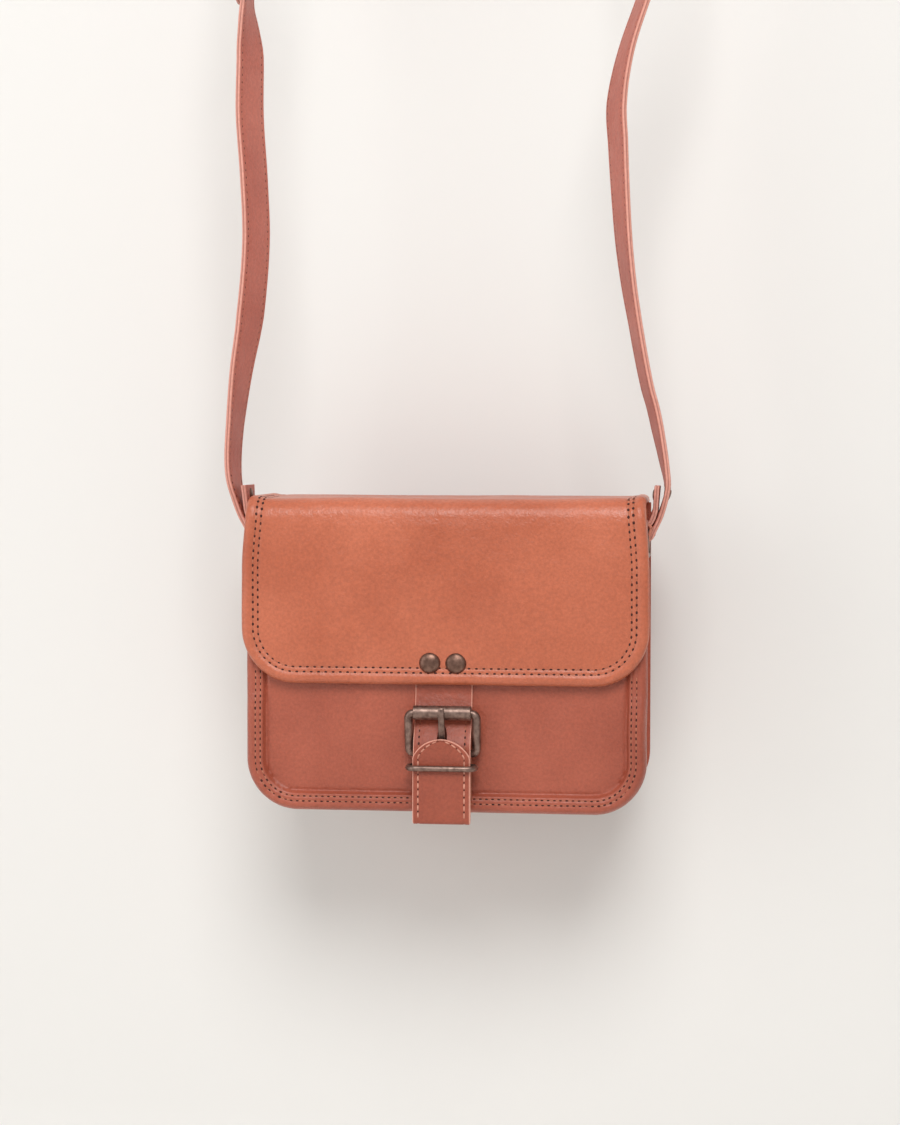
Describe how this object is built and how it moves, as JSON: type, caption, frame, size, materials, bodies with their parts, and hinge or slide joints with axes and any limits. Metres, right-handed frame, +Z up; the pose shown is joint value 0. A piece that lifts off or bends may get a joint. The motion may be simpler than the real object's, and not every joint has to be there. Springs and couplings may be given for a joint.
{
  "type": "sling bag",
  "caption": "Small upright leather sling bag with a rounded flap, a roller-buckle snap closure and one adjustable shoulder strap.",
  "frame": {"origin": "hanging point: middle of the underside of the shoulder strap's arch, where a hook or a shoulder carries the bag", "axes": "+Z up along the hanging strap, +X to the right seen from the front, +Y to the back, the flap and its buckle face -Y"},
  "size_m": [0.1926, 0.0626, 0.549],
  "materials": {
    "tan_leather": "satin",
    "russet_leather": "satin",
    "strap_leather": "satin",
    "edge_leather": "satin",
    "lining_cloth": "matte",
    "board": "matte",
    "antique_brass": "brushed"
  },
  "bodies": {
    "strap": {"strap_left": "strap_leather", "strap_right": "strap_leather", "strap_end_rivets": "antique_brass"},
    "bag": {"front_panel": "russet_leather", "front_border": "russet_leather", "back_panel": "russet_leather", "back_border": "edge_leather", "gusset": "tan_leather", "lining": "lining_cloth", "base_board": "board", "side_tab_left": "edge_leather", "side_tab_right": "edge_leather", "tab_rivets": "antique_brass", "side_ring_left": "antique_brass", "side_ring_right": "antique_brass", "snap_socket": "antique_brass"},
    "flap": {"flap_leather": "tan_leather", "flap_lining": "lining_cloth", "flap_edge_roll": "tan_leather", "flap_rivets": "antique_brass", "closure_anchor": "tan_leather"},
    "closure": {"closure_strap": "tan_leather", "buckle_chape": "edge_leather", "snap_stud": "antique_brass"},
    "buckle": {"buckle_frame": "antique_brass"},
    "roller": {"buckle_roller": "antique_brass"},
    "prong": {"buckle_prong": "antique_brass"},
    "keeper": {"keeper_loop": "antique_brass"},
    "adjuster": {"strap_buckle_frame": "antique_brass"},
    "adjuster_roller": {"strap_buckle_roller": "antique_brass"},
    "adjuster_prong": {"strap_buckle_prong": "antique_brass"},
    "sliding_keeper": {"strap_keeper": "edge_leather"}
  },
  "joints": [
    {"name": "bag_swing", "type": "hinge", "parent": "strap", "child": "bag", "pos_m": [0, 0, -0.435], "axis": [1, 0, 0], "range_deg": [-20, 20]},
    {"name": "flap_lift", "type": "hinge", "parent": "bag", "child": "flap", "pos_m": [0, 0.0258, -0.4112], "axis": [-1, 0, 0], "range_deg": [0, 45]},
    {"name": "closure_lift", "type": "hinge", "parent": "flap", "child": "closure", "pos_m": [0, -0.0221, -0.49], "axis": [-1, 0, 0], "range_deg": [0, 75]},
    {"name": "buckle_tilt", "type": "hinge", "parent": "closure", "child": "buckle", "pos_m": [0, -0.0261, -0.5172], "axis": [1, 0, 0], "range_deg": [0, 8]},
    {"name": "roller_spin", "type": "hinge", "parent": "buckle", "child": "roller", "pos_m": [0, -0.0283, -0.4998], "axis": [1, 0, 0], "continuous": true},
    {"name": "prong_swing", "type": "hinge", "parent": "buckle", "child": "prong", "pos_m": [0, -0.0261, -0.5172], "axis": [1, 0, 0], "range_deg": [0, 10]},
    {"name": "keeper_tilt", "type": "hinge", "parent": "closure", "child": "keeper", "pos_m": [0, -0.0261, -0.5225], "axis": [1, 0, 0], "range_deg": [-8, 8]},
    {"name": "adjuster_tilt", "type": "hinge", "parent": "strap", "child": "adjuster", "pos_m": [-0.0849, 0, -0.167], "axis": [0, -1, 0], "range_deg": [0, 8]},
    {"name": "adjuster_roller_spin", "type": "hinge", "parent": "adjuster", "child": "adjuster_roller", "pos_m": [-0.0881, 0, -0.1496], "axis": [0, 1, 0], "continuous": true},
    {"name": "adjuster_prong_swing", "type": "hinge", "parent": "adjuster", "child": "adjuster_prong", "pos_m": [-0.0849, 0, -0.167], "axis": [0, -1, 0], "range_deg": [0, 10]},
    {"name": "keeper_slide", "type": "slide", "parent": "strap", "child": "sliding_keeper", "axis": [0, 0, 1], "range_m": [-0.006, 0.006]}
  ]
}
